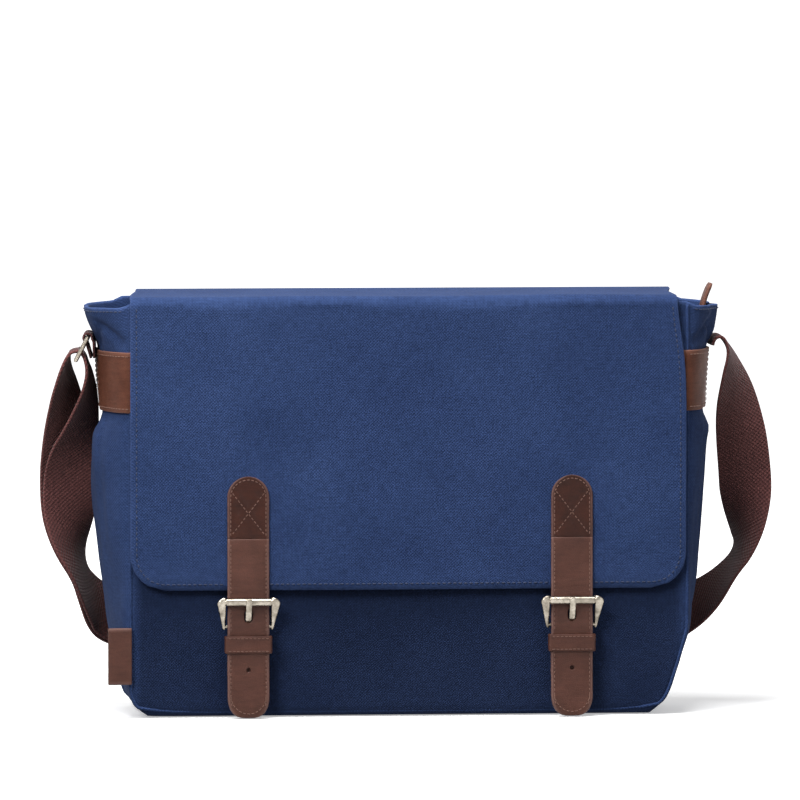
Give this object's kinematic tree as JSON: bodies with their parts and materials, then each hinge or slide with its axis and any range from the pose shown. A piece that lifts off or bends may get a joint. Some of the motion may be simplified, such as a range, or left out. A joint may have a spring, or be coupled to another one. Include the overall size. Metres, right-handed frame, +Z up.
{
  "type": "messenger bag",
  "caption": "Canvas messenger bag with a full front flap, two leather straps in roller buckles, a recessed zip and a webbing shoulder strap",
  "frame": {"origin": "centre of the base, on the surface that the bag stands on", "axes": "+X to the right of someone facing the flap, +Y away from them, +Z up"},
  "size_m": [0.5245, 0.144, 0.308],
  "materials": {
    "canvas": "matte woven",
    "lining_cloth": "matte woven",
    "stiffener": "matte",
    "zip_tape": "matte woven",
    "webbing": "ribbed webbing",
    "leather": "oiled, slightly worn",
    "nickel": "antique nickel, satin"
  },
  "bodies": {
    "root": {"front_panel": "canvas", "back_panel": "canvas", "base_panel": "canvas", "base_board": "stiffener", "left_gusset": "canvas", "right_gusset": "canvas", "lining": "lining_cloth", "inner_pocket": "lining_cloth", "zip_panel_front": "canvas", "zip_panel_back": "canvas", "zip_tape_front": "zip_tape", "zip_tape_back": "zip_tape", "zip_teeth_front": "nickel", "zip_teeth_back": "nickel", "zip_stops": "nickel", "zip_tail": "zip_tape", "zip_end_tab": "leather", "left_side_band": "leather", "right_side_band": "leather", "label_tab": "leather", "ring_loop": "webbing", "flap_rear_hem": "canvas", "left_snap_socket": "nickel", "right_snap_socket": "nickel"},
    "flap": {"flap_outer": "canvas", "flap_lining": "lining_cloth", "left_strap_patch": "leather", "left_flap_strap": "leather", "left_buckle_frame": "nickel", "left_keeper": "leather", "left_chape": "leather", "left_snap_stud": "nickel", "right_strap_patch": "leather", "right_flap_strap": "leather", "right_buckle_frame": "nickel", "right_keeper": "leather", "right_chape": "leather", "right_snap_stud": "nickel"},
    "zip_slider": {"zip_slider": "nickel"},
    "zip_pull": {"zip_pull": "nickel"},
    "left_roller": {"left_roller": "nickel"},
    "right_roller": {"right_roller": "nickel"},
    "left_prong": {"left_prong": "nickel"},
    "right_prong": {"right_prong": "nickel"},
    "strap_ring": {"strap_ring": "nickel"},
    "shoulder_strap": {"shoulder_strap": "webbing", "strap_return": "webbing", "strap_slider": "nickel"}
  },
  "joints": [
    {"name": "flap_open", "type": "hinge", "parent": "root", "child": "flap", "pos_m": [0, 0.057, 0.3004], "axis": [-1, 0, 0], "range_deg": [0, 180]},
    {"name": "zip_slide", "type": "slide", "parent": "root", "child": "zip_slider", "axis": [1, 0, 0], "range_m": [-0.356, 0]},
    {"name": "zip_pull_swing", "type": "hinge", "parent": "zip_slider", "child": "zip_pull", "pos_m": [0.178, 0, 0.2659], "axis": [0, 1, 0], "range_deg": [0, 150]},
    {"name": "left_roller_spin", "type": "hinge", "parent": "flap", "child": "left_roller", "pos_m": [-0.116, -0.06665, 0.084], "axis": [1, 0, 0], "continuous": true},
    {"name": "left_prong_lift", "type": "hinge", "parent": "flap", "child": "left_prong", "pos_m": [-0.116, -0.05905, 0.066], "axis": [1, 0, 0], "range_deg": [0, 40]},
    {"name": "right_roller_spin", "type": "hinge", "parent": "flap", "child": "right_roller", "pos_m": [0.116, -0.06665, 0.084], "axis": [1, 0, 0], "continuous": true},
    {"name": "right_prong_lift", "type": "hinge", "parent": "flap", "child": "right_prong", "pos_m": [0.116, -0.05905, 0.066], "axis": [1, 0, 0], "range_deg": [0, 40]},
    {"name": "ring_swing", "type": "hinge", "parent": "root", "child": "strap_ring", "pos_m": [-0.2263, 0, 0.2706], "axis": [0.087, 0.9962, 0], "range_deg": [-10, 10]},
    {"name": "strap_swing", "type": "hinge", "parent": "root", "child": "shoulder_strap", "pos_m": [0, 0, 0.262], "axis": [1, 0, 0], "range_deg": [0, 180], "deforming": ["shoulder_strap", "strap_return"]}
  ]
}
